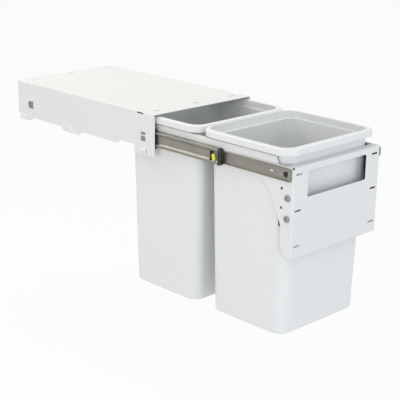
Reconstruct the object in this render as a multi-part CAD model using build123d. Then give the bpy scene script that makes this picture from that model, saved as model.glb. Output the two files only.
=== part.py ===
from build123d import *
import os

# Pull-out bin frame for a kitchen cabinet, shown with its carriage run out.
# A folded steel housing is screwed to the cabinet's sides. Two telescopic
# runners hang from it and carry a folded frame with two lift-out bins.
# Millimetres. X to the right seen from the front, +Y into the cabinet, +Z up.
# The origin is the centre of the housing's flat top face.

# Cabinet and housing
cabinet_inner_width = 318
cabinet_gap = 2.5
housing_depth = 520
housing_sheet = 1.2
housing_bend = 2.4
cut_over = 1

# Side plates of the housing
side_height = 89
lobe_height = 98.5
relief_height = 80.5
heel_height = 84.5
nose_length = 69
relief_length = 52
lobe_reach = 31
lobe_flank = 12
plate_corner = 7
front_fixing_setback = 37
middle_fixing_setback = 303
rear_fixing_inset = 18
fixing_height = 92.5
fixing_hole = 5.2
tab_width = 17
tab_height = 15
tab_slope = 2.6
tab_slit = 1.4
heel_length = 8

# Openings in the side plates
key_hole_inset = 52
key_hole_width = 22
key_hole_height = 19
key_hole_drop = 56.5
window_setback = 39
window_width = 16
window_drops = (49.5, 61.5)
window_heights = (6.5, 12)
fold_slot_drop = 3.4
fold_slot_height = 3.4
front_fold_slot_setback = 48.5
front_fold_slot_width = 21
rear_fold_slot_inset = 24
rear_fold_slot_width = 12

# Raised spacers in the housing's top
spacer_setback = 38.5
rear_spacer_inset = 12
spacer_inset = 34.5
spacer_length = 22
spacer_width = 15
spacer_rise = 1.6
spacer_slope = 3
spacer_relief = 3.4

# Telescopic runners
runner_depth = 12.7
runner_drop = 57
runner_sheet = 1.2
outer_height = 45.6
outer_lip = 11
outer_lip_height = 3.2
outer_setback = 3
outer_rear_inset = 17
middle_height = 36.2
middle_length = 468
middle_run_out = 197
middle_standoff = 2
middle_web_depth = 6.4
middle_lip = 11.3
middle_web_height = 17.3
middle_slope_height = 3.5
inner_height = 27.8
inner_length = 485.5
inner_setback = 5.2
inner_corner = 3.5
inner_flange = 4.7
outer_ball_depth = 6
inner_ball_depth = 9.6
ball_groove = 0.3
ball_gap = 0.05
bend_radius = 1.2
track_radius = 2.2

# Ball cages
cage_length = 120
cage_sheet = 0.4
cage_arm = 0.5
balls_per_row = 6
cage_gap = 0.2
ball_hole_gap = 0.1
outer_cage_setback = 107
inner_cage_run_out = 68
cage_arm_reach = 3.4
inner_cage_arm_reach = 1.6

# Plastic and rubber parts of the runners
retainer_length = 9.6
retainer_height = 37.2
retainer_gap = 0.4
retainer_web = 2.6
retainer_slot = 2
retainer_slot_height = 22
retainer_front_chamfer = 4
guide_length = 5
guide_depth = 8.7
guide_root = 22
guide_tip = 4
latch_window_setback = 6.6
latch_window_width = 19.8
latch_window_top = 8.6
latch_window_bottom = 11.4
latch_front_gap = 2.2
latch_width = 10.6
latch_knob_width = 8.2
latch_knob_height = 9
latch_height = 14.4
latch_depth = 4.4
latch_thumb = 0.9
latch_thumb_height = 3
latch_gap = 0.3
latch_corner = 2.5
stop_length = 12
stop_height = 24
stop_depth = 8
stop_corner = 3

# Inner runner member's holes
end_tab_gap = 0.4
end_tab_height = 19
locating_hole = 3.4
locating_setback = 34.9
locating_drop = 3.1
oval_hole_length = 10
oval_hole_height = 4.6
oval_setback = 59.6

# Carriage frame
extension = 403.5
frame_sheet = 1.5
frame_bend = 3
rail_top_drop = 24.5
rail_height = 47.5
rail_flange = 4.6
rail_nose_setback = 48.5
rail_nose_slope = 7
rail_web_setback = 146
rail_end_setback = 534.5
seam_gap = 0.5
strip_height = 16

# Front bracket
bracket_drop = 40.5
bracket_height = 196
bracket_flange = 21
corner_relief = 5
corner_relief_drop = 1.7
ear_reach = 145
ear_outline_shares = ((1, 0.165), (0.685, 0.2), (0.52, 0.25), (0.4, 0.36), (0.245, 0.6),
                      (0.215, 0.66), (0.215, 0.845), (0.155, 0.975), (0.02, 1))
hand_hole_inset = 45.6
hand_hole_height = 57
hand_hole_drop = 12.5
hand_hole_corner = 5
door_slot_length = 20
door_slot_height = 4
door_slot_inset = 17.6
door_slot_drops = (15.5, 93.5, 171)
ear_hole = 6.4
ear_hole_setback = 31
ear_hole_drops = (48.5, 90)

# Mounting plates inside the bracket's ears
plate_front_gap = 4
plate_leg_width = 34
plate_leg_drop = 172
plate_top_drop = 30
plate_reach = 165
plate_edge = 3

# Rear cross rail
cross_rail_height = 46
cross_rail_flange = 12
cross_rail_tab = 15
cross_rail_drop = 26.5

# Fasteners
runner_screw_head = 11.5
runner_screw_head_height = 2.4
runner_screw_shank = 4.2
front_screw_setback = 20
middle_screw_setback = 283
rear_screw_setback = 463
screw_hole_gap = 0.2
socket_width = 3
adjuster_head = 14.6
adjuster_head_height = 3
adjuster_shank = 6
adjuster_socket = 6
adjuster_socket_depth = 1.6
adjuster_offset = 1
adjuster_setback = 13.8
adjuster_drops = (66.6, 111.2)
rivet_head = 7
rivet_head_height = 1.4
rivet_shank = 4
rivet_drops = (38, 60)
edge_round = 0.6

# Bins
rim_overhang = 6.4
bin_rim_depth = 257.8
bin_pitch = 262
bin_setback = 10.7
bin_top_drop = 6
bin_bottom_drop = 425.4
bin_rim_height = 14.4
bin_rim_corner = 35
bin_rim_edge = 3
bin_wall = 2.2
bin_floor = 2.6
mouth_side = 11.5
mouth_front = 14.3
mouth_back = 6.5
mouth_corner = 28
body_side = 12.4
body_front = 11.8
body_back = 17
body_corner = 27
body_taper = 9.4
top_crown = 0.5
foot_crown = 1.6
foot_round = 6

# Derived sizes
housing_width = cabinet_inner_width - 2 * cabinet_gap
front_y = -housing_depth / 2
back_y = housing_depth / 2
fixing_ys = (front_y + front_fixing_setback, front_y + middle_fixing_setback, back_y - rear_fixing_inset)
plate_x = housing_width / 2
runner_x = plate_x - housing_sheet
frame_x = runner_x - runner_depth
panel_y = front_y - extension
runner_z = -runner_drop
screw_ys = (panel_y + front_screw_setback, panel_y + middle_screw_setback, panel_y + rear_screw_setback)
bin_width = 2 * (frame_x + rim_overhang)
seat_drop = rail_top_drop - bin_top_drop
outer_front_y = front_y + outer_setback
outer_back_y = back_y - outer_rear_inset
middle_front_y = front_y - middle_run_out
inner_front_y = panel_y + inner_setback
outer_ball_height = (outer_height / 2 - runner_sheet + middle_height / 2) / 2
outer_ball = (outer_height / 2 - runner_sheet - middle_height / 2) / 2 + ball_groove - ball_gap
inner_ball_height = (middle_height / 2 - runner_sheet + inner_height / 2) / 2
inner_ball = (middle_height / 2 - runner_sheet - inner_height / 2) / 2 + ball_groove - ball_gap


def block(x0, x1, y0, y1, z0, z1):
    """A box between two corners."""
    size = Box(x1 - x0, y1 - y0, z1 - z0)
    return Pos((x0 + x1) / 2, (y0 + y1) / 2, (z0 + z1) / 2) * size


def rod_x(radius, x0, x1, y, z):
    """A round bar along X."""
    return Pos((x0 + x1) / 2, y, z) * Rot(0, 90, 0) * Cylinder(radius, abs(x1 - x0))


def rod_y(radius, y0, y1, x, z):
    """A round bar along Y."""
    return Pos(x, (y0 + y1) / 2, z) * Rot(90, 0, 0) * Cylinder(radius, y1 - y0)


def plate_from_side(points, x0, x1):
    """A flat plate between x0 and x1 whose outline is given as (y, z) points."""
    face = make_face(Polyline(*[(y, z) for y, z in points], close=True))
    return Plane.YZ.offset(x0) * extrude(face, x1 - x0)


def along_runner(profile, y0, y1):
    """Extrude a (depth, height) profile of the left runner along Y."""
    plane = Plane(origin=(-runner_x, y0, runner_z), x_dir=(1, 0, 0), z_dir=(0, -1, 0))
    return extrude(plane * profile, -(y1 - y0))


def other_side(part):
    """The right-hand twin of a left-hand piece."""
    return mirror(part, about=Plane.YZ)


def housing_lower_edge():
    """Side plate outline below the top bend, from the front corner to the back one."""
    middle_tab, rear_tab = fixing_ys[1:]
    nose_end = front_y + nose_length
    relief_end = nose_end + relief_length
    return [
        (front_y, 0), (front_y, -lobe_height), (nose_end, -lobe_height), (nose_end, -relief_height),
        (relief_end, -relief_height), (relief_end + lobe_flank / 2, -side_height),
        (middle_tab - lobe_reach - lobe_flank / 2, -side_height), (middle_tab - lobe_reach, -lobe_height),
        (middle_tab + lobe_reach, -lobe_height), (middle_tab + lobe_reach + lobe_flank, -side_height),
        (rear_tab - lobe_reach - lobe_flank, -side_height), (rear_tab - lobe_reach, -lobe_height),
        (back_y - heel_length, -lobe_height), (back_y - heel_length, -heel_height),
        (back_y, -heel_height), (back_y, 0)]


def fixing_tab(y):
    """One tab of the left side plate, set out to the cabinet wall, with its screw hole."""
    top = -lobe_height + tab_height
    out_x = -cabinet_inner_width / 2
    in_x = -plate_x + housing_sheet
    profile = [(in_x, top), (in_x - housing_sheet, top), (out_x, top - tab_slope),
               (out_x, -lobe_height), (out_x + housing_sheet, -lobe_height),
               (out_x + housing_sheet, top - tab_slope - housing_sheet / 2),
               (in_x, top - housing_sheet / 2)]
    face = make_face(Polyline(*profile, close=True))
    tab = extrude(Plane(origin=(0, y + tab_width / 2, 0), x_dir=(1, 0, 0), z_dir=(0, -1, 0)) * face, tab_width)
    return tab - rod_x(fixing_hole / 2, out_x - cut_over, in_x + cut_over, y, -fixing_height)


def top_spacer(x, y):
    """A lanced strip pressed up from the top plate, and the places of its two relief holes."""
    low = x - spacer_length / 2
    high = x + spacer_length / 2
    points = [(low, -housing_sheet), (low + spacer_slope, spacer_rise - housing_sheet),
              (high - spacer_slope, spacer_rise - housing_sheet), (high, -housing_sheet), (high, 0),
              (high - spacer_slope, spacer_rise), (low + spacer_slope, spacer_rise), (low, 0)]
    face = make_face(Polyline(*points, close=True))
    start = y + spacer_width / 2
    strip = extrude(Plane(origin=(0, start, 0), x_dir=(1, 0, 0), z_dir=(0, -1, 0)) * face, spacer_width)
    reliefs = [Pos(x + spacer_length / 2, y + k * spacer_width / 2, 0) for k in (-1, 1)]
    return strip, reliefs


def housing_shell():
    """Folded steel cover: top plate and two side plates in one sheet."""
    outside = block(-plate_x, plate_x, front_y, back_y, -lobe_height, 0)
    outside = fillet(outside.edges().filter_by(Axis.Y).group_by(Axis.Z)[-1], housing_bend)
    inside = block(-runner_x, runner_x, front_y - cut_over, back_y + cut_over,
                   -lobe_height - cut_over, -housing_sheet)
    inside = fillet(inside.edges().filter_by(Axis.Y).group_by(Axis.Z)[-1], housing_bend - housing_sheet)
    shell = outside - inside
    silhouette = plate_from_side(housing_lower_edge(), -plate_x, plate_x)
    fold = silhouette.edges().filter_by(Axis.X)
    corners = fold.filter_by(lambda e: e.center().Z < cut_over - lobe_height or e.center().Y > back_y - cut_over)
    corners = corners.filter_by(lambda e: e.center().Z < -cut_over)
    shell = shell & fillet(corners, heel_length / 4)
    nose = block(-plate_x, plate_x, front_y, front_y + plate_corner,
                 -plate_corner - housing_sheet, -housing_sheet)
    nose -= rod_x(plate_corner, -plate_x, plate_x, front_y + plate_corner, -housing_sheet - plate_corner)
    clip = runner_x - housing_bend
    nose -= block(-clip, clip, front_y - cut_over, front_y + plate_corner, -plate_corner * 2, 0)
    shell -= nose
    for y in fixing_ys:
        slit = tab_width / 2 + tab_slit
        top = -lobe_height + tab_height
        gap = block(-plate_x - cut_over, -runner_x + cut_over, y - slit, y + slit, -lobe_height - cut_over, top)
        shell -= gap + other_side(gap)
        root = block(-plate_x, -runner_x, y - tab_width / 2, y + tab_width / 2, top, top + tab_slit)
        tab = fixing_tab(y) + root
        shell += tab + other_side(tab)
    for y, width in ((front_y + front_fold_slot_setback, front_fold_slot_width),
                     (back_y - rear_fold_slot_inset, rear_fold_slot_width)):
        slot = block(-plate_x - cut_over, -runner_x + cut_over, y - width / 2, y + width / 2,
                     -fold_slot_drop - fold_slot_height / 2, -fold_slot_drop + fold_slot_height / 2)
        shell -= slot + other_side(slot)
    for drop, height in zip(window_drops, window_heights):
        y = front_y + window_setback
        hole = block(-plate_x - cut_over, -runner_x + cut_over, y - window_width / 2, y + window_width / 2,
                     -drop - height / 2, -drop + height / 2)
        shell -= hole + other_side(hole)
    key_y = back_y - key_hole_inset
    disc = rod_x(key_hole_width / 2, -plate_x - cut_over, -runner_x + cut_over, key_y, -key_hole_drop)
    flat = block(-plate_x - cut_over, -runner_x + cut_over,
                 key_y - key_hole_width / 2, key_y + key_hole_width / 2,
                 -key_hole_drop - key_hole_height / 2, -key_hole_drop + key_hole_height / 2)
    flat_front = block(-plate_x - cut_over, -runner_x + cut_over, key_y - key_hole_width / 2, key_y,
                       -key_hole_drop - key_hole_height / 2, -key_hole_drop + key_hole_height / 2)
    key_hole = (disc & flat) + flat_front
    shell -= key_hole + other_side(key_hole)
    outer_spacer = plate_x - spacer_inset
    for y in (front_y + spacer_setback, back_y - rear_spacer_inset):
        for x in (-outer_spacer, 0, outer_spacer):
            strip, reliefs = top_spacer(x, y)
            shell -= block(x - spacer_length / 2, x + spacer_length / 2,
                           y - spacer_width / 2, y + spacer_width / 2, -housing_sheet - cut_over, cut_over)
            shell += strip
            for spot in reliefs:
                shell -= spot * Cylinder(spacer_relief / 2, (spacer_rise + housing_sheet) * 2)
    return shell


def runner_outer():
    """Cabinet member of the left runner: a deep C with turned-in lips, flush on the side plate."""
    wall = runner_sheet / 2
    top = outer_height / 2 - wall
    lip = outer_lip - wall
    path = [(lip, top - outer_lip_height), (lip, top), (wall, top), (wall, -top), (lip, -top),
            (lip, -top + outer_lip_height)]
    profile = trace(FilletPolyline(*path, radius=bend_radius), line_width=runner_sheet)
    member = along_runner(profile, outer_front_y, outer_back_y)
    for way in (-1, 1):
        member -= rod_y(outer_ball + ball_gap, outer_front_y - cut_over, outer_back_y + cut_over,
                        -runner_x + outer_ball_depth, runner_z + way * outer_ball_height)
    return member


def runner_middle():
    """Middle member of the left runner: a sunk web between two round ball tracks."""
    wall = runner_sheet / 2
    top = middle_height / 2 - wall
    track = middle_standoff + wall
    web = middle_web_height / 2
    shoulder = web + middle_slope_height
    path = [(middle_lip, top), (track, top), (track, shoulder), (middle_web_depth, web),
            (middle_web_depth, -web), (track, -shoulder), (track, -top), (middle_lip, -top)]
    bends = [track_radius, bend_radius, bend_radius, bend_radius, bend_radius, track_radius]
    profile = trace(FilletPolyline(*path, radius=bends), line_width=runner_sheet)
    member = along_runner(profile, middle_front_y, middle_front_y + middle_length)
    y0 = middle_front_y - cut_over
    y1 = middle_front_y + middle_length + cut_over
    for way in (-1, 1):
        member -= rod_y(outer_ball + ball_gap, y0, y1, -runner_x + outer_ball_depth,
                        runner_z + way * outer_ball_height)
        member -= rod_y(inner_ball + ball_gap, y0, y1, -runner_x + inner_ball_depth,
                        runner_z + way * inner_ball_height)
    window = block(-runner_x, -runner_x + middle_web_depth + runner_sheet,
                   middle_front_y + latch_window_setback, middle_front_y + latch_window_setback + latch_window_width,
                   runner_z - latch_window_bottom, runner_z + latch_window_top)
    return member - window


def runner_inner():
    """Carriage member of the left runner: a shallow C screwed to the frame, its front lug turned out."""
    wall = runner_sheet / 2
    top = inner_height / 2 - wall
    back = runner_depth - wall
    lip = runner_depth - inner_flange
    profile = trace(FilletPolyline((lip, top), (back, top), (back, -top), (lip, -top), radius=bend_radius),
                    line_width=runner_sheet)
    inner_end_y = inner_front_y + inner_length
    member = along_runner(profile, inner_front_y, inner_end_y)
    for way in (-1, 1):
        member -= rod_y(inner_ball + ball_gap, inner_front_y - cut_over, inner_end_y + cut_over,
                        -runner_x + inner_ball_depth, runner_z + way * inner_ball_height)
    outline = RectangleRounded(inner_length, inner_height, inner_corner)
    outline = Pos(inner_front_y + inner_length / 2, runner_z) * outline
    member = member & (Plane.YZ.offset(-runner_x) * extrude(outline, runner_depth))
    member += block(-runner_x + runner_sheet + end_tab_gap, -frame_x, inner_front_y, inner_front_y + runner_sheet,
                    runner_z - end_tab_height / 2, runner_z + end_tab_height / 2)
    x0 = -frame_x - runner_sheet - cut_over
    x1 = -frame_x + cut_over
    for y in screw_ys:
        member -= rod_x(runner_screw_shank / 2 + screw_hole_gap, x0, x1, y, runner_z)
    member -= rod_x(locating_hole / 2, x0, x1, panel_y + locating_setback, runner_z - locating_drop)
    oval_y = panel_y + oval_setback
    half = (oval_hole_length - oval_hole_height) / 2
    oval = block(x0, x1, oval_y - half, oval_y + half, runner_z - oval_hole_height / 2,
                 runner_z + oval_hole_height / 2)
    for way in (-1, 1):
        oval += rod_x(oval_hole_height / 2, x0, x1, oval_y + way * half, runner_z)
    return member - oval


def cage(y0, web_depth, arm_height, arm_reach, ball_depth, ball):
    """A bent strip with a row of ball holes in its upper and lower arm."""
    web = Pos(web_depth + cage_sheet / 2, 0) * Rectangle(cage_sheet, 2 * arm_height + cage_arm)
    profile = web
    for way in (-1, 1):
        arm = Rectangle(arm_reach - web_depth, cage_arm)
        profile += Pos((web_depth + arm_reach) / 2, way * arm_height) * arm
    strip = along_runner(profile, y0, y0 + cage_length)
    pitch = cage_length / balls_per_row
    for k in range(balls_per_row):
        hole = Cylinder(ball + ball_hole_gap, outer_height)
        strip -= Pos(-runner_x + ball_depth, y0 + (k + 0.5) * pitch, runner_z) * hole
    return strip


def ball_row(y0, ball_depth, ball_height, ball):
    """The loose balls of one cage, above and below, as separate solids."""
    pitch = cage_length / balls_per_row
    balls = []
    for way in (-1, 1):
        for k in range(balls_per_row):
            spot = Pos(-runner_x + ball_depth, y0 + (k + 0.5) * pitch, runner_z + way * ball_height)
            balls.append(spot * Sphere(ball))
    return Compound(balls)


def front_retainer():
    """Black plastic end piece on the middle member, open where the inner member slides, with a guide inside."""
    y1 = middle_front_y
    y0 = y1 - retainer_length
    low_x = -runner_x + middle_standoff - retainer_gap
    high_x = -runner_x + middle_lip
    web_x = low_x + retainer_web
    half = retainer_height / 2
    body = block(low_x, high_x, y0, y1, runner_z - half, runner_z + half)
    body = chamfer(body.edges().filter_by(Axis.X).group_by(Axis.Y)[0], retainer_front_chamfer)
    slide_half = inner_height / 2 + retainer_gap
    body -= block(web_x, high_x + cut_over, y0 - cut_over, y1 + cut_over,
                  runner_z - slide_half, runner_z + slide_half)
    guide_end = y0 + guide_length
    body -= block(low_x - cut_over, web_x + cut_over, guide_end, guide_end + retainer_slot,
                  runner_z - retainer_slot_height / 2, runner_z + retainer_slot_height / 2)
    root = web_x + runner_x
    corners = [(root, guide_root / 2), (guide_depth, guide_tip / 2),
               (guide_depth, -guide_tip / 2), (root, -guide_root / 2)]
    return body + along_runner(make_face(Polyline(*corners, close=True)), y0, guide_end)


def release_latch():
    """Yellow catch that slides up in the middle member's window: a knob and a tongue behind and above it."""
    y0 = middle_front_y + latch_window_setback + latch_front_gap
    y1 = y0 + latch_width
    x1 = -runner_x + middle_web_depth + runner_sheet / 2
    x0 = x1 - latch_depth
    z0 = runner_z - latch_window_bottom + latch_gap
    z_knob = z0 + latch_knob_height
    knob = block(x0, x1, y0, y0 + latch_knob_width, z0, z_knob)
    knob = fillet(knob.edges().filter_by(Axis.X), latch_corner)
    z_thumb = z0 + latch_knob_height / 2
    tongue = block(x0 + latch_thumb, x1, y1 - latch_knob_width, y1, z_thumb, z0 + latch_height)
    tongue = fillet(tongue.edges().filter_by(Axis.X), latch_corner)
    thumb = block(x0 - latch_thumb, x0, y0 + latch_corner, y0 + latch_knob_width - latch_corner,
                  z_thumb - latch_thumb_height / 2, z_thumb + latch_thumb_height / 2)
    return knob + tongue + thumb


def rear_stop():
    """Rubber buffer in the back end of the outer member."""
    x0 = -runner_x + runner_sheet
    body = block(x0, x0 + stop_depth, outer_back_y - stop_length, outer_back_y,
                 runner_z - stop_height / 2, runner_z + stop_height / 2)
    return fillet(body.edges().filter_by(Axis.X), stop_corner)


def side_rail():
    """Left rail of the carriage: a strip with its top edge turned in under the bin rims."""
    top = -rail_top_drop
    low = top - rail_height
    strip_low = top - strip_height + seam_gap
    nose_y = panel_y + rail_nose_setback
    web_y = panel_y + rail_web_setback
    end_y = panel_y + rail_end_setback
    outline = [(nose_y, top), (end_y, top), (end_y, low), (web_y, low), (web_y, strip_low),
               (nose_y - rail_nose_slope, strip_low)]
    rail = plate_from_side(outline, -frame_x, -frame_x + frame_sheet)
    shelf = block(-frame_x, -frame_x + rail_flange, nose_y, end_y, top - frame_sheet, top)
    rail += shelf
    rail = fillet(rail.edges().filter_by(Axis.Y).group_by(Axis.Z)[-1].group_by(Axis.X)[0], frame_sheet / 2)
    for y in screw_ys[1:]:
        rail -= rod_x(runner_screw_shank / 2 + screw_hole_gap, -frame_x - cut_over,
                      -frame_x + frame_sheet + cut_over, y, runner_z)
    for drop in rivet_drops:
        rail -= rod_x(rivet_shank / 2, -frame_x - cut_over, -frame_x + frame_sheet + cut_over,
                      end_y - frame_sheet - cross_rail_tab / 2, -drop)
    return rail


def mounting_plate():
    """Plate inside the left ear that joins the front bracket to the rail."""
    front = panel_y + plate_front_gap
    leg = front + plate_leg_width
    back = panel_y + plate_reach
    low = -rail_top_drop - rail_height
    outline = [(front, -bracket_drop - plate_edge), (front, -plate_leg_drop), (leg, -plate_leg_drop), (leg, low),
               (back, low), (back, -plate_top_drop),
               (panel_y + rail_nose_setback + plate_edge, -plate_top_drop),
               (panel_y + rail_nose_setback, -bracket_drop - plate_edge)]
    x0 = -frame_x + frame_sheet
    x1 = x0 + frame_sheet
    plate = plate_from_side(outline, x0, x1)
    plate -= rod_x(runner_screw_shank / 2 + screw_hole_gap, x0 - cut_over, x1 + cut_over, screw_ys[0], runner_z)
    for drop in adjuster_drops:
        plate -= rod_x(adjuster_shank / 2 + screw_hole_gap, x0 - cut_over, x1 + cut_over,
                       panel_y + adjuster_setback, -bracket_drop - drop)
    for drop in ear_hole_drops:
        plate -= rod_x(ear_hole / 2, x0 - cut_over, x1 + cut_over, panel_y + ear_hole_setback,
                       -bracket_drop - drop)
    return plate


def ear_outline():
    """Curved (y, z) outline of the bracket's ear, seen from the side."""
    points = [(panel_y + reach * ear_reach, -bracket_drop - fall * bracket_height)
              for reach, fall in ear_outline_shares]
    return [(panel_y, -bracket_drop), (panel_y + ear_reach, -bracket_drop)] + points + \
           [(panel_y, -bracket_drop - bracket_height)]


def front_bracket():
    """Door bracket: front panel, top flange and two ears folded from one sheet."""
    top = -bracket_drop
    low = top - bracket_height
    back = panel_y + ear_reach
    outside = block(-frame_x, frame_x, panel_y, back, low, top)
    front_edges = outside.edges().filter_by(Axis.Z).group_by(Axis.Y)[0]
    outside = fillet(front_edges, frame_bend)
    inner_x = frame_x - frame_sheet
    inside = block(-inner_x, inner_x, panel_y + frame_sheet, back + cut_over,
                   low - cut_over, top - frame_sheet)
    inside = fillet(inside.edges().filter_by(Axis.Z).group_by(Axis.Y)[0], frame_bend - frame_sheet)
    sheet = outside - inside
    sheet -= block(-inner_x, inner_x, panel_y + bracket_flange, back + cut_over,
                   top - frame_sheet * 2, top + cut_over)
    points = ear_outline()
    upper = points[:3]
    curve = Spline(*[(y, z) for y, z in points[2:7]])
    lower = Polyline(*[(y, z) for y, z in points[6:]], (upper[0][0], upper[0][1]))
    outline = make_face(Polyline(*upper) + curve + lower)
    sheet = sheet & (Plane.YZ.offset(-frame_x) * extrude(outline, 2 * frame_x))
    for way in (-1, 1):
        spot = Pos(way * (frame_x - frame_bend / 2), panel_y + frame_bend / 2, top - corner_relief_drop)
        sheet -= spot * Sphere(corner_relief / 2)
        slit = block(-frame_x + frame_sheet, -frame_x + frame_sheet + corner_relief / 2,
                     panel_y + frame_sheet * 2, panel_y + bracket_flange, top - frame_sheet, top)
        sheet -= slit if way < 0 else other_side(slit)
    hole_z = top - hand_hole_drop - hand_hole_height / 2
    hand_x = frame_x - hand_hole_inset
    hole = block(-hand_x, hand_x, panel_y - cut_over, panel_y + frame_sheet + cut_over,
                 hole_z - hand_hole_height / 2, hole_z + hand_hole_height / 2)
    sheet -= fillet(hole.edges().filter_by(Axis.Y), hand_hole_corner)
    for way in (-1, 1):
        for drop in door_slot_drops:
            slot = SlotOverall(door_slot_length, door_slot_height)
            plane = Plane(origin=(way * (frame_x - door_slot_inset), panel_y - cut_over, top - drop),
                          x_dir=(1, 0, 0), z_dir=(0, -1, 0))
            sheet -= extrude(plane * slot, -(frame_sheet + 2 * cut_over))
    ear_cuts = [(runner_screw_shank + 2 * screw_hole_gap, front_screw_setback, runner_drop)]
    adjuster_cut = adjuster_shank + 2 * screw_hole_gap
    ear_cuts += [(adjuster_cut, adjuster_setback, bracket_drop + d) for d in adjuster_drops]
    ear_cuts += [(ear_hole, ear_hole_setback, bracket_drop + d) for d in ear_hole_drops]
    for size, setback, drop in ear_cuts:
        cut = rod_x(size / 2, -frame_x - cut_over, -frame_x + frame_sheet + cut_over, panel_y + setback, -drop)
        sheet -= cut + other_side(cut)
    return sheet


def rear_cross_rail():
    """Folded channel that ties the two rails behind the rear bin."""
    inner_x = frame_x - frame_sheet
    end_y = panel_y + rail_end_setback
    top = -cross_rail_drop
    low = top - cross_rail_height
    web = block(-inner_x, inner_x, end_y - frame_sheet, end_y, low, top)
    flange_x = frame_x - rail_flange - seam_gap
    flange = block(-flange_x, flange_x, end_y - cross_rail_flange, end_y, top, top + frame_sheet)
    tab = block(-inner_x, -inner_x + frame_sheet, end_y - frame_sheet - cross_rail_tab, end_y, low, top)
    for drop in rivet_drops:
        tab -= rod_x(rivet_shank / 2, -frame_x, -inner_x + frame_sheet + cut_over,
                     end_y - frame_sheet - cross_rail_tab / 2, -drop)
    return web + flange + tab + other_side(tab)


def pan_screw(y, z, head, head_height, shank, seat_x, tip_x, socket):
    """A pan-head screw along X: head outside seat_x, shank to tip_x."""
    cap = rod_x(head / 2, seat_x - head_height, seat_x, y, z)
    cap = fillet(cap.edges().group_by(Axis.X)[0], head_height / 2)
    stem = rod_x(shank / 2, seat_x, tip_x, y, z)
    drive = extrude(RegularPolygon(socket / 2, 6), head_height)
    return cap - Pos(seat_x - head_height, y, z) * Rot(0, 90, 0) * drive + stem


def runner_screws():
    """Screws that hold the inner members to the frame, both sides."""
    screws = []
    for y in screw_ys:
        sheets = 2 if y == screw_ys[0] else 1
        screw = pan_screw(y, runner_z, runner_screw_head, runner_screw_head_height, runner_screw_shank,
                          -frame_x - runner_sheet, -frame_x + sheets * frame_sheet, socket_width)
        screws += [screw, other_side(screw)]
    return Compound(screws)


def bracket_adjusters():
    """Broad adjusting screws that clamp the ears to the mounting plates."""
    screws = []
    for drop in adjuster_drops:
        y = panel_y + adjuster_setback
        z = -bracket_drop - drop
        cap = rod_x(adjuster_head / 2, -frame_x - adjuster_head_height, -frame_x, y, z)
        cap = fillet(cap.edges().group_by(Axis.X)[0], edge_round)
        seat = Pos(-frame_x - adjuster_head_height, y + adjuster_offset, z + adjuster_offset) * Rot(0, 90, 0)
        cap -= seat * extrude(RegularPolygon(adjuster_socket / 2, 6), adjuster_socket_depth)
        screw = cap + rod_x(adjuster_shank / 2, -frame_x, -frame_x + 2 * frame_sheet, y, z)
        screws += [screw, other_side(screw)]
    return Compound(screws)


def cross_rail_rivets():
    """Rivets through the rails and the cross rail's tabs, heads inside."""
    rivets = []
    y = panel_y + rail_end_setback - frame_sheet - cross_rail_tab / 2
    inner_x = -frame_x + 2 * frame_sheet
    for drop in rivet_drops:
        head = rod_x(rivet_head / 2, inner_x, inner_x + rivet_head_height, y, -drop)
        head = fillet(head.edges().group_by(Axis.X)[-1], rivet_head_height / 2)
        rivet = head + rod_x(rivet_shank / 2, -frame_x, inner_x, y, -drop)
        rivets += [rivet, other_side(rivet)]
    return Compound(rivets)


def crowned_face(width, depth, y_mid, corner, crown, z):
    """A rectangle with bowed sides and round corners, at height z."""
    x = width / 2
    y0 = y_mid - depth / 2
    y1 = y_mid + depth / 2
    sides = [ThreePointArc((-x, y0), (0, y0 - crown), (x, y0)),
             ThreePointArc((x, y0), (x + crown, y_mid), (x, y1)),
             ThreePointArc((x, y1), (0, y1 + crown), (-x, y1)),
             ThreePointArc((-x, y1), (-x - crown, y_mid), (-x, y0))]
    face = make_face(Wire(sides))
    return Pos(0, 0, z) * fillet(face.vertices(), corner)


def bin_body(grow, top, low):
    """Tapered body of a bin between the heights top and low, its walls moved in by grow."""
    width = bin_width - 2 * body_side - 2 * grow
    depth = bin_rim_depth - body_front - body_back - 2 * grow
    y_mid = (body_front - body_back) / 2
    seat = crowned_face(width, depth, y_mid, body_corner - grow, top_crown, top)
    foot = crowned_face(width - 2 * body_taper, depth - 2 * body_taper, y_mid, body_corner - grow,
                        foot_crown, low)
    return loft([seat, foot])


def waste_bin(y_mid):
    """A moulded bin with an over-hanging rim, a shoulder that rests on the rails and a tapered body."""
    height = bin_bottom_drop - bin_top_drop
    rim = extrude(RectangleRounded(bin_width, bin_rim_depth, bin_rim_corner), -bin_rim_height)
    rim = fillet(rim.edges().group_by(Axis.Z)[-1], bin_rim_edge)
    under = RectangleRounded(bin_width - 2 * bin_wall, bin_rim_depth - 2 * bin_wall,
                             bin_rim_corner - bin_wall)
    rim -= Pos(0, 0, -bin_rim_edge) * extrude(under, -bin_rim_height)
    mouth_width = bin_width - 2 * mouth_side
    mouth_depth = bin_rim_depth - mouth_front - mouth_back
    mouth_y = (mouth_front - mouth_back) / 2
    neck = crowned_face(mouth_width + 2 * bin_wall, mouth_depth + 2 * bin_wall, mouth_y, mouth_corner + bin_wall,
                        top_crown, -bin_rim_edge / 2)
    neck = extrude(neck, -seat_drop + bin_rim_edge / 2)
    outside = bin_body(0, -seat_drop, -height)
    outside = fillet(outside.edges().group_by(Axis.Z)[0], foot_round)
    shape = rim + neck + outside
    mouth = crowned_face(mouth_width, mouth_depth, mouth_y, mouth_corner, top_crown, 0)
    shape -= extrude(mouth, -seat_drop + bin_wall)
    shape -= bin_body(bin_wall, -seat_drop + bin_wall, -height + bin_floor)
    return Pos(0, y_mid, -bin_top_drop) * shape


def save(name, part):
    """Write one sub-part."""
    part.label = name
    export_step(part, f"parts/{name}.step")


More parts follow.
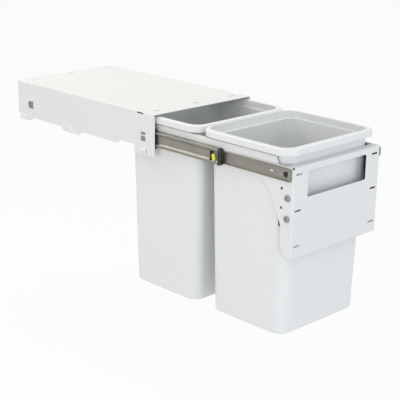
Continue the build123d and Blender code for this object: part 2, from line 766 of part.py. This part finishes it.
def build():
    """Make every sub-part and write it."""
    os.makedirs("parts", exist_ok=True)
    save("housing_shell", housing_shell())
    outer_cage_y = front_y + outer_cage_setback
    inner_cage_y = front_y - inner_cage_run_out
    outer_web = runner_sheet + cage_gap
    inner_web = middle_web_depth + runner_sheet / 2 + cage_gap
    pairs = {
        "runner_outer": runner_outer(),
        "runner_middle": runner_middle(),
        "runner_inner": runner_inner(),
        "outer_cage": cage(outer_cage_y, outer_web, outer_ball_height, outer_ball_depth + cage_arm_reach,
                           outer_ball_depth, outer_ball),
        "outer_balls": ball_row(outer_cage_y, outer_ball_depth, outer_ball_height, outer_ball),
        "inner_cage": cage(inner_cage_y, inner_web, inner_ball_height, inner_ball_depth + inner_cage_arm_reach,
                           inner_ball_depth, inner_ball),
        "inner_balls": ball_row(inner_cage_y, inner_ball_depth, inner_ball_height, inner_ball),
        "front_retainer": front_retainer(),
        "release_latch": release_latch(),
        "rear_stop": rear_stop(),
        "side_rail": side_rail(),
        "mounting_plate": mounting_plate(),
    }
    for name, part in pairs.items():
        save(f"left_{name}", part)
        save(f"right_{name}", other_side(part))
    save("front_bracket", front_bracket())
    save("rear_cross_rail", rear_cross_rail())
    save("runner_screws", runner_screws())
    save("bracket_adjusters", bracket_adjusters())
    save("cross_rail_rivets", cross_rail_rivets())
    front_bin_y = panel_y + bin_setback + bin_rim_depth / 2
    save("front_bin", waste_bin(front_bin_y))
    save("rear_bin", waste_bin(front_bin_y + bin_pitch))


build()
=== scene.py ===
import math
import bmesh
import bpy
from mathutils import Matrix, Vector


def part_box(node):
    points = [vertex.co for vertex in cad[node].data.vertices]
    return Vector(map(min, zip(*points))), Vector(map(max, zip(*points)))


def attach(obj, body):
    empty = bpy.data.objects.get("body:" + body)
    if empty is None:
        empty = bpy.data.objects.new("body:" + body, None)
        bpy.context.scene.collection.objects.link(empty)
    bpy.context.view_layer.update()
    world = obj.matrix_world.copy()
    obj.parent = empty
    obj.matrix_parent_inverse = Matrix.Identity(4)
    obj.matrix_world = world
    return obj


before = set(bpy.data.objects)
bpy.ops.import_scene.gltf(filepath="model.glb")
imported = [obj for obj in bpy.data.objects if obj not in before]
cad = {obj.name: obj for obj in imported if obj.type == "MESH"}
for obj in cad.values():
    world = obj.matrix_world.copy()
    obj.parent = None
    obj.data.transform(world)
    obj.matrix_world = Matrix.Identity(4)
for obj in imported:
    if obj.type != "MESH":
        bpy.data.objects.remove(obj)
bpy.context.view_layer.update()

# The camera stands in front of the unit and to its left, a little above it,
# and looks down on the run-out carriage. Its lens is long, so that the
# parallel edges of the folded sheets stay nearly parallel.
view_azimuth = math.radians(-44.642)
view_elevation = math.radians(17.439)
view_roll = math.radians(0.988)
view_offset = Vector((-0.17146, 0.27974, -2.78993))
focal_pixels = 1119.95
picture_pixels = 400
film_width = 36
farthest_view = 30

back = Vector((math.sin(view_azimuth) * math.cos(view_elevation),
               -math.cos(view_azimuth) * math.cos(view_elevation), math.sin(view_elevation)))
level_right = Vector((0, 0, 1)).cross(back).normalized()
level_up = back.cross(level_right)
right = math.cos(view_roll) * level_right + math.sin(view_roll) * level_up
up = math.cos(view_roll) * level_up - math.sin(view_roll) * level_right
eye = -(view_offset.x * right + view_offset.y * up + view_offset.z * back)

camera = bpy.data.objects.new("camera", bpy.data.cameras.new("camera"))
camera.data.sensor_width = film_width
camera.data.lens = focal_pixels / picture_pixels * film_width
camera.data.clip_end = farthest_view
camera.matrix_world = Matrix((
    (right.x, up.x, back.x, eye.x),
    (right.y, up.y, back.y, eye.y),
    (right.z, up.z, back.z, eye.z),
    (0, 0, 0, 1)))
bpy.context.scene.collection.objects.link(camera)
bpy.context.scene.camera = camera
bpy.context.scene.view_settings.view_transform = "Standard"


# The studio is a pale floor below the hanging bins, an even white surround and
# six lamps: low on the left, camera side, front left, front, overhead, and a
# small one behind on the left that catches the runners' sloping shelves.
def linear(code):
    """Linear RGBA of an sRGB hex value."""
    parts = [int(code[k:k + 2], 16) / 255 for k in (1, 3, 5)]
    return tuple(c / 12.92 if c < 0.04045 else ((c + 0.055) / 1.055) ** 2.4 for c in parts) + (1,)


def add(tree, kind, inputs=None, **settings):
    """One node with its settings; each input is a plain value or the socket that feeds it."""
    made = tree.nodes.new(kind)
    for name, value in settings.items():
        setattr(made, name, value)
    for name, value in (inputs or {}).items():
        if isinstance(value, bpy.types.NodeSocket):
            tree.links.new(value, made.inputs[name])
        else:
            made.inputs[name].default_value = value
    return made


def blank_material(name):
    """A new material with an empty node tree."""
    material = bpy.data.materials.new(name)
    material.use_nodes = True
    material.node_tree.nodes.clear()
    return material


def backdrop_share(tree):
    """1 for rays from the camera, a reflection or a see-through surface, and 0 for diffuse light."""
    rays = add(tree, "ShaderNodeLightPath")
    seen_or_mirrored = add(tree, "ShaderNodeMath", {
        0: rays.outputs["Is Camera Ray"], 1: rays.outputs["Is Glossy Ray"]}, operation="ADD")
    share = add(tree, "ShaderNodeMath", {
        0: seen_or_mirrored.outputs[0], 1: rays.outputs["Is Transmission Ray"]},
        operation="ADD", use_clamp=True)
    return share.outputs[0]


world = bpy.data.worlds.new("white_surround")
world.use_nodes = True
world.node_tree.nodes.clear()
bpy.context.scene.world = world
white_share = backdrop_share(world.node_tree)
white = linear("#FFFFFF")
studio_light = add(world.node_tree, "ShaderNodeBackground", {"Color": white, "Strength": 0.58})
white_backdrop = add(world.node_tree, "ShaderNodeBackground", {"Color": white, "Strength": 1.0})
surround = add(world.node_tree, "ShaderNodeMixShader", {
    0: white_share, 1: studio_light.outputs[0], 2: white_backdrop.outputs[0]})
add(world.node_tree, "ShaderNodeOutputWorld", {"Surface": surround.outputs[0]})

# Each lamp's name, place and aim in metres, width in metres, power in watts and tint.
lamp_plan = (
    ("left_lamp", (-3.2, -1.0, 0.15), (0, -0.3, -0.2), 1.5, 19, "#FFFFFF"),
    ("camera_side_lamp", (-2.3, -2.9, 1.8), (0, -0.4, -0.1), 1.2, 9, "#FFFFFF"),
    ("front_left_lamp", (-1.4, -3.3, 0.3), (0, -0.3, -0.2), 1.2, 11, "#E9EEFF"),
    ("front_lamp", (0.9, -3.6, 0.3), (0, -0.3, -0.2), 1.8, 18, "#E5F1FF"),
    ("overhead_lamp", (0.1, 0.1, 2.4), (0, -0.1, -0.1), 1.6, 21, "#FFFDF0"),
    ("left_rear_lamp", (-0.81, 1.13, 1.41), (-0.15, -0.35, -0.06), 0.45, 7.5, "#FFFFFF"),
)
for name, place, aim, size, watts, tint in lamp_plan:
    lamp = bpy.data.objects.new(name, bpy.data.lights.new(name, "AREA"))
    lamp.data.size = size
    lamp.data.energy = watts
    lamp.data.color = linear(tint)[:3]
    lamp.location = place
    lamp.rotation_euler = (Vector(aim) - Vector(place)).to_track_quat("-Z", "Y").to_euler()
    lamp.visible_camera = False
    bpy.context.scene.collection.objects.link(lamp)

floor_drop = 0.62
floor_reach = 9
floor_corners = [(x * floor_reach, y * floor_reach, -floor_drop)
                 for x, y in ((-1, -1), (1, -1), (1, 1), (-1, 1))]
floor_mesh = bpy.data.meshes.new("floor")
floor_mesh.from_pydata(floor_corners, [], [(0, 1, 2, 3)])
floor = bpy.data.objects.new("floor", floor_mesh)
bpy.context.scene.collection.objects.link(floor)
painted_floor = blank_material("white_painted_studio_floor")
tree = painted_floor.node_tree
paint = add(tree, "ShaderNodeBsdfDiffuse", {"Color": linear("#E6E6E4")})
glow = add(tree, "ShaderNodeEmission", {"Color": white, "Strength": 1.0})
white_weight = add(tree, "ShaderNodeMath", {0: backdrop_share(tree), 1: 0.92}, operation="MULTIPLY")
floor_mix = add(tree, "ShaderNodeMixShader", {
    0: white_weight.outputs[0], 1: paint.outputs[0], 2: glow.outputs[0]})
add(tree, "ShaderNodeOutputMaterial", {"Surface": floor_mix.outputs[0]})
floor_mesh.materials.append(painted_floor)


# Housing shell: one steel sheet folded into a top plate and two side plates,
# with tabs, slots and raised spacers pressed in it. White powder coat, baked on
# after folding, gives a satin skin with a faint orange-peel waviness.
def dress(names, material):
    """Give a material to the CAD nodes named."""
    for name in names:
        for slot in cad[name].material_slots:
            slot.material = material


def powder_coat(name, colour, shade):
    """Satin polyester powder coat; the orange peel is drawn 5 mm wide, as 1.5 mm wouldn't show."""
    cloud_width = 0.12
    peel_width = 0.005
    peel_depth = 0.0002
    material = blank_material(name)
    tree = material.node_tree
    spot = add(tree, "ShaderNodeTexCoord").outputs["Object"]
    clouds = add(tree, "ShaderNodeTexNoise", {"Vector": spot, "Scale": 1 / cloud_width, "Detail": 2.0})
    tone = add(tree, "ShaderNodeMix", {
        "Factor": clouds.outputs["Fac"], "A": linear(colour), "B": linear(shade)}, data_type="RGBA")
    peel = add(tree, "ShaderNodeTexNoise", {"Vector": spot, "Scale": 1 / peel_width, "Detail": 1.0})
    relief = add(tree, "ShaderNodeBump", {
        "Height": peel.outputs["Fac"], "Strength": 0.06, "Distance": peel_depth})
    gloss = add(tree, "ShaderNodeMapRange", {"Value": clouds.outputs["Fac"], "To Min": 0.4, "To Max": 0.46})
    skin = add(tree, "ShaderNodeBsdfPrincipled", {
        "Base Color": tone.outputs["Result"], "IOR": 1.5,
        "Roughness": gloss.outputs[0], "Normal": relief.outputs[0]})
    add(tree, "ShaderNodeOutputMaterial", {"Surface": skin.outputs[0]})
    return material


white_powder_coat = powder_coat("satin_white_powder_coat", "#E7E9E8", "#E4E6E5")
dress(["housing_shell"], white_powder_coat)


# Outer, middle and inner runner members: steel strip, zinc-plated and then
# cold-rolled into C and M sections. Rolling leaves fine lines along the length
# and a dull, slightly warm grey.
def rolled_zinc(name, colour, shade, roughness):
    """Zinc-plated steel; its rolling lines are drawn 1.2 mm apart, as 0.2 mm wouldn't show."""
    line_pitch = 0.0012
    line_length = 0.18
    line_depth = 0.0001
    bloom_width = 0.03
    material = blank_material(name)
    tree = material.node_tree
    spot = add(tree, "ShaderNodeTexCoord").outputs["Object"]
    drawn = add(tree, "ShaderNodeMapping", {
        "Vector": spot, "Scale": (1 / line_pitch, 1 / line_length, 1 / line_pitch)})
    lines = add(tree, "ShaderNodeTexNoise", {"Vector": drawn.outputs[0], "Scale": 1.0, "Detail": 3.0})
    bloom = add(tree, "ShaderNodeTexNoise", {"Vector": spot, "Scale": 1 / bloom_width, "Detail": 3.0})
    both = add(tree, "ShaderNodeMath", {
        0: lines.outputs["Fac"], 1: bloom.outputs["Fac"]}, operation="MULTIPLY")
    spread = add(tree, "ShaderNodeMapRange", {"Value": both.outputs[0], "From Min": 0.12, "From Max": 0.42})
    tone = add(tree, "ShaderNodeMix", {
        "Factor": spread.outputs[0], "A": linear(shade), "B": linear(colour)}, data_type="RGBA")
    dullness = add(tree, "ShaderNodeMapRange", {
        "Value": lines.outputs["Fac"], "To Min": roughness - 0.05, "To Max": roughness + 0.08})
    grooves = add(tree, "ShaderNodeBump", {
        "Height": lines.outputs["Fac"], "Strength": 0.08, "Distance": line_depth})
    metal = add(tree, "ShaderNodeBsdfPrincipled", {
        "Base Color": tone.outputs["Result"], "Metallic": 1.0,
        "Roughness": dullness.outputs[0], "Normal": grooves.outputs[0]})
    add(tree, "ShaderNodeOutputMaterial", {"Surface": metal.outputs[0]})
    return material


zinc_strip = rolled_zinc("zinc_plated_rolled_steel", "#9B9890", "#8E8B84", 0.42)
sides = ("left", "right")
dress([f"{side}_runner_{member}" for side in sides for member in ("outer", "middle", "inner")], zinc_strip)


# Ball cages: thin spring steel strip, punched for the balls and bent to a
# channel, left bright from the press.
pressed_strip = rolled_zinc("bright_pressed_spring_steel", "#B4B3AE", "#A5A49F", 0.32)
dress([f"{side}_{row}_cage" for side in sides for row in ("outer", "inner")], pressed_strip)


# Balls: hardened chrome steel, ground and lapped, nearly mirror-bright under a
# trace of grease.
def turned_steel(name, colour, shade, roughness, grain):
    """Bare, plated or blackened metal with a faint clouding of the given grain in metres."""
    material = blank_material(name)
    tree = material.node_tree
    spot = add(tree, "ShaderNodeTexCoord").outputs["Object"]
    haze = add(tree, "ShaderNodeTexNoise", {"Vector": spot, "Scale": 1 / grain, "Detail": 3.0})
    tone = add(tree, "ShaderNodeMix", {
        "Factor": haze.outputs["Fac"], "A": linear(colour), "B": linear(shade)}, data_type="RGBA")
    dullness = add(tree, "ShaderNodeMapRange", {
        "Value": haze.outputs["Fac"], "To Min": roughness, "To Max": roughness + 0.1})
    metal = add(tree, "ShaderNodeBsdfPrincipled", {
        "Base Color": tone.outputs["Result"], "Metallic": 1.0, "Roughness": dullness.outputs[0]})
    add(tree, "ShaderNodeOutputMaterial", {"Surface": metal.outputs[0]})
    return material


lapped_steel = turned_steel("lapped_ball_bearing_steel", "#D2D2D0", "#BDBDBB", 0.08, 0.002)
dress([f"{side}_{row}_balls" for side in sides for row in ("outer", "inner")], lapped_steel)


# Front retainers: black acetal mouldings clipped over the front of each middle
# member. Rear stops: moulded rubber buffers pressed into the outer members.
def moulded_plastic(name, colour, shade, roughness, grain, depth, ior=1.48):
    """Moulded plastic with the fine grain of its tool, the grain's width and depth in metres."""
    flow_width = 0.09
    material = blank_material(name)
    tree = material.node_tree
    spot = add(tree, "ShaderNodeTexCoord").outputs["Object"]
    flow = add(tree, "ShaderNodeTexNoise", {"Vector": spot, "Scale": 1 / flow_width, "Detail": 2.0})
    tone = add(tree, "ShaderNodeMix", {
        "Factor": flow.outputs["Fac"], "A": linear(colour), "B": linear(shade)}, data_type="RGBA")
    sparks = add(tree, "ShaderNodeTexNoise", {"Vector": spot, "Scale": 1 / grain, "Detail": 2.0})
    relief = add(tree, "ShaderNodeBump", {
        "Height": sparks.outputs["Fac"], "Strength": 0.1, "Distance": depth})
    gloss = add(tree, "ShaderNodeMapRange", {
        "Value": sparks.outputs["Fac"], "To Min": roughness - 0.04, "To Max": roughness + 0.04})
    skin = add(tree, "ShaderNodeBsdfPrincipled", {
        "Base Color": tone.outputs["Result"], "IOR": ior,
        "Roughness": gloss.outputs[0], "Normal": relief.outputs[0]})
    add(tree, "ShaderNodeOutputMaterial", {"Surface": skin.outputs[0]})
    return material


# The same black also colours the bracket's corner dots, where it is painted shade.
black_acetal_and_painted_shade = moulded_plastic("black_moulded_acetal_and_painted_shade", "#242624", "#2E302E", 0.42, 0.0015, 0.0001)
dress([f"{side}_front_retainer" for side in sides], black_acetal_and_painted_shade)
moulded_rubber = moulded_plastic("black_moulded_rubber", "#1D1D1D", "#262626", 0.7, 0.002, 0.0002, 1.52)
dress([f"{side}_rear_stop" for side in sides], moulded_rubber)


# Release latches: yellow acetal slides in the middle members' windows, smooth
# from a polished tool.
yellow_acetal = moulded_plastic("yellow_moulded_acetal", "#E6EB58", "#DEE34C", 0.34, 0.0015, 0.00005)
dress([f"{side}_release_latch" for side in sides], yellow_acetal)


# Carriage frame: side rails, front bracket and rear cross rail are cut and folded from steel sheet and
# powder-coated with the housing. The mounting plates behind the bracket's ears are coloured near-black as
# painted shade, standing in for the shade in the pocket between the bracket and the front bin.
dress([f"{side}_side_rail" for side in sides], white_powder_coat)
dress(["front_bracket", "rear_cross_rail"], white_powder_coat)
# Painted shade: the plates' near-black colour stands in for the shade in the pocket behind the bracket's
# panel and ears.
painted_shade_plate_coat = powder_coat("painted_shade_black_plate_coat", "#2B2B2D", "#343436")
dress([f"{side}_mounting_plate" for side in sides], painted_shade_plate_coat)


# Corner shade dots: a small black acetal dome is set into the round relief at each upper corner of the
# front bracket, where the panel, the flange and the ear meet. It is painted shade, standing in for the
# shade inside the relief hole. Its domed head has a dimple, and a short stem holds it.
bracket_low, bracket_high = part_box("front_bracket")
millimetre = 0.001
shade_dot_profile = ((0, 0.5), (0.5, 0.55), (0.8, 1.2), (1.3, 1.3), (1.9, 0.8),
                (2.2, 0.1), (2.1, -0.5), (1.4, -0.8), (1.4, -2.0), (0, -2.0))
shade_dot_steps = 24
shade_dot_seam = 0.02 * millimetre
shade_dot_inset = 1.7 * millimetre
shade_dot_setback = 2.2 * millimetre
shade_dot_drop = 1.7 * millimetre
for side, way in (("left", -1), ("right", 1)):
    corner_x = bracket_low.x if way < 0 else bracket_high.x
    shape = bmesh.new()
    points = [shape.verts.new((radius * millimetre, 0, height * millimetre))
              for radius, height in shade_dot_profile]
    outline = [shape.edges.new(pair) for pair in zip(points, points[1:])]
    bmesh.ops.spin(shape, geom=points + outline, axis=(0, 0, 1), cent=(0, 0, 0),
                   steps=shade_dot_steps, angle=math.tau, use_merge=True)
    bmesh.ops.remove_doubles(shape, verts=shape.verts, dist=shade_dot_seam)
    bmesh.ops.recalc_face_normals(shape, faces=shape.faces)
    shade_dot_mesh = bpy.data.meshes.new(f"{side}_corner_shade_dot")
    shape.to_mesh(shade_dot_mesh)
    shape.free()
    for polygon in shade_dot_mesh.polygons:
        polygon.use_smooth = True
    # Painted shade: the dot's black stands in for the shade inside the bracket's corner relief.
    shade_dot_mesh.materials.append(black_acetal_and_painted_shade)
    shade_dot = bpy.data.objects.new(f"{side}_corner_shade_dot", shade_dot_mesh)
    shade_dot.location = (corner_x - way * shade_dot_inset, bracket_low.y + shade_dot_setback, bracket_high.z - shade_dot_drop)
    shade_dot.rotation_euler = Vector((way, -1, 1)).to_track_quat("Z", "Y").to_euler()
    bpy.context.scene.collection.objects.link(shade_dot)
    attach(shade_dot, "carriage")


# Screws, adjusters and rivets: runner screws are turned from steel and
# blackened, adjusters turned and zinc-plated, the rivets are drawn aluminium.
blackened_screw = turned_steel("black_oxidised_turned_steel", "#4A4A49", "#3A3A39", 0.34, 0.004)
dress(["runner_screws"], blackened_screw)
plated_screw = turned_steel("zinc_plated_turned_steel", "#A8A8A6", "#969694", 0.3, 0.004)
dress(["bracket_adjusters"], plated_screw)
drawn_aluminium = turned_steel("drawn_aluminium", "#C9CACB", "#BABBBC", 0.34, 0.003)
dress(["cross_rail_rivets"], drawn_aluminium)


# Bins: light grey polypropylene, injection-moulded in one piece with the rim.
# The tool's fine spark-eroded grain leaves a soft satin surface.
grey_polypropylene = moulded_plastic(
    "light_grey_moulded_polypropylene", "#E9EBEB", "#E6E8E8", 0.38, 0.004, 0.00015, 1.49)
dress(["front_bin", "rear_bin"], grey_polypropylene)
